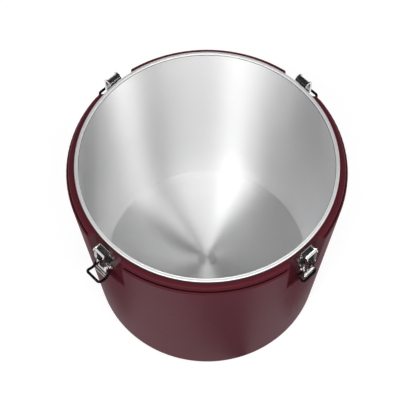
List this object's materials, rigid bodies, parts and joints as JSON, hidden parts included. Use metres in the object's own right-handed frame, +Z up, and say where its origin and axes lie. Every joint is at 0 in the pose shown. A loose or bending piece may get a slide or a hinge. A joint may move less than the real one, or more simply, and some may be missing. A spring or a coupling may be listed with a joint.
{
  "type": "insulated_soup_carrier",
  "caption": "Round maroon insulated soup carrier with a stainless liner, open at the top, with steel draw latches and black wire pull loops in collar pockets",
  "frame": {"origin": "centre of the flat base on the ground, where the barrel's axis meets it", "axes": "+Z up along the barrel's axis to the rim; +X out through latch 1, +Y out through latch 2; the picture looks down between latch 1 at its right and latch 4 at its left"},
  "size_m": [0.4352, 0.4511, 0.344],
  "materials": {
    "maroon_plastic": "satin moulded polyethylene",
    "liner_steel": "spun stainless sheet with fine concentric lines",
    "foam": "closed-cell foam, hidden",
    "gasket_rubber": "matt rubber",
    "plug_plastic": "matt plastic",
    "latch_steel": "bright stamped stainless steel",
    "coated_wire": "black coating on bent wire"
  },
  "bodies": {
    "barrel": {"outer_shell": "maroon_plastic", "inner_liner": "liner_steel", "foam_core": "foam", "rim_gasket": "gasket_rubber", "fill_plug": "plug_plastic", "vent_plug": "plug_plastic", "latch_1_base": "latch_steel", "latch_1_rivets": "latch_steel", "latch_1_pivots": "latch_steel", "latch_2_base": "latch_steel", "latch_2_rivets": "latch_steel", "latch_2_pivots": "latch_steel", "latch_3_base": "latch_steel", "latch_3_rivets": "latch_steel", "latch_3_pivots": "latch_steel", "latch_4_base": "latch_steel", "latch_4_rivets": "latch_steel", "latch_4_pivots": "latch_steel"},
    "latch_1_lever": {"latch_1_lever": "latch_steel", "latch_1_claw_pin": "latch_steel"},
    "latch_1_claw": {"latch_1_claw": "latch_steel"},
    "latch_1_loop": {"latch_1_loop": "coated_wire"},
    "latch_2_lever": {"latch_2_lever": "latch_steel", "latch_2_claw_pin": "latch_steel"},
    "latch_2_claw": {"latch_2_claw": "latch_steel"},
    "latch_2_loop": {"latch_2_loop": "coated_wire"},
    "latch_3_lever": {"latch_3_lever": "latch_steel", "latch_3_claw_pin": "latch_steel"},
    "latch_3_claw": {"latch_3_claw": "latch_steel"},
    "latch_3_loop": {"latch_3_loop": "coated_wire"},
    "latch_4_lever": {"latch_4_lever": "latch_steel", "latch_4_claw_pin": "latch_steel"},
    "latch_4_claw": {"latch_4_claw": "latch_steel"},
    "latch_4_loop": {"latch_4_loop": "coated_wire"}
  },
  "joints": [
    {"name": "latch_1_lever_swing", "type": "hinge", "parent": "barrel", "child": "latch_1_lever", "pos_m": [0.1995, 0, 0.304], "axis": [0, -1, 0], "range_deg": [0, 70]},
    {"name": "latch_1_claw_swing", "type": "hinge", "parent": "latch_1_lever", "child": "latch_1_claw", "pos_m": [0.19875, 0, 0.2965], "axis": [0, -1, 0], "range_deg": [-70, 0]},
    {"name": "latch_1_loop_swing", "type": "hinge", "parent": "latch_1_lever", "child": "latch_1_loop", "pos_m": [0.2023, 0, 0.2935], "axis": [0, -1, 0], "range_deg": [-7, 67]},
    {"name": "latch_2_lever_swing", "type": "hinge", "parent": "barrel", "child": "latch_2_lever", "pos_m": [0, 0.1995, 0.304], "axis": [1, 0, 0], "range_deg": [0, 70]},
    {"name": "latch_2_claw_swing", "type": "hinge", "parent": "latch_2_lever", "child": "latch_2_claw", "pos_m": [0, 0.19875, 0.2965], "axis": [1, 0, 0], "range_deg": [-70, 0]},
    {"name": "latch_2_loop_swing", "type": "hinge", "parent": "latch_2_lever", "child": "latch_2_loop", "pos_m": [0, 0.2023, 0.2935], "axis": [1, 0, 0], "range_deg": [-70, 4]},
    {"name": "latch_3_lever_swing", "type": "hinge", "parent": "barrel", "child": "latch_3_lever", "pos_m": [-0.1995, 0, 0.304], "axis": [0, 1, 0], "range_deg": [0, 70]},
    {"name": "latch_3_claw_swing", "type": "hinge", "parent": "latch_3_lever", "child": "latch_3_claw", "pos_m": [-0.19875, 0, 0.2965], "axis": [0, 1, 0], "range_deg": [-70, 0]},
    {"name": "latch_3_loop_swing", "type": "hinge", "parent": "latch_3_lever", "child": "latch_3_loop", "pos_m": [-0.2023, 0, 0.2935], "axis": [0, 1, 0], "range_deg": [-70, 4]},
    {"name": "latch_4_lever_swing", "type": "hinge", "parent": "barrel", "child": "latch_4_lever", "pos_m": [0, -0.1995, 0.304], "axis": [-1, 0, 0], "range_deg": [-11, 59]},
    {"name": "latch_4_claw_swing", "type": "hinge", "parent": "latch_4_lever", "child": "latch_4_claw", "pos_m": [0, -0.2002, 0.2965], "axis": [-1, 0, 0], "range_deg": [-59, 11]},
    {"name": "latch_4_loop_swing", "type": "hinge", "parent": "latch_4_lever", "child": "latch_4_loop", "pos_m": [0, -0.20425, 0.29423], "axis": [-1, 0, 0], "range_deg": [-56, 18]}
  ],
  "couplings": [
    {"joint": "latch_1_claw_swing", "follows": "latch_1_lever_swing", "ratio": -1},
    {"joint": "latch_2_claw_swing", "follows": "latch_2_lever_swing", "ratio": -1},
    {"joint": "latch_3_claw_swing", "follows": "latch_3_lever_swing", "ratio": -1},
    {"joint": "latch_4_claw_swing", "follows": "latch_4_lever_swing", "ratio": -1}
  ]
}
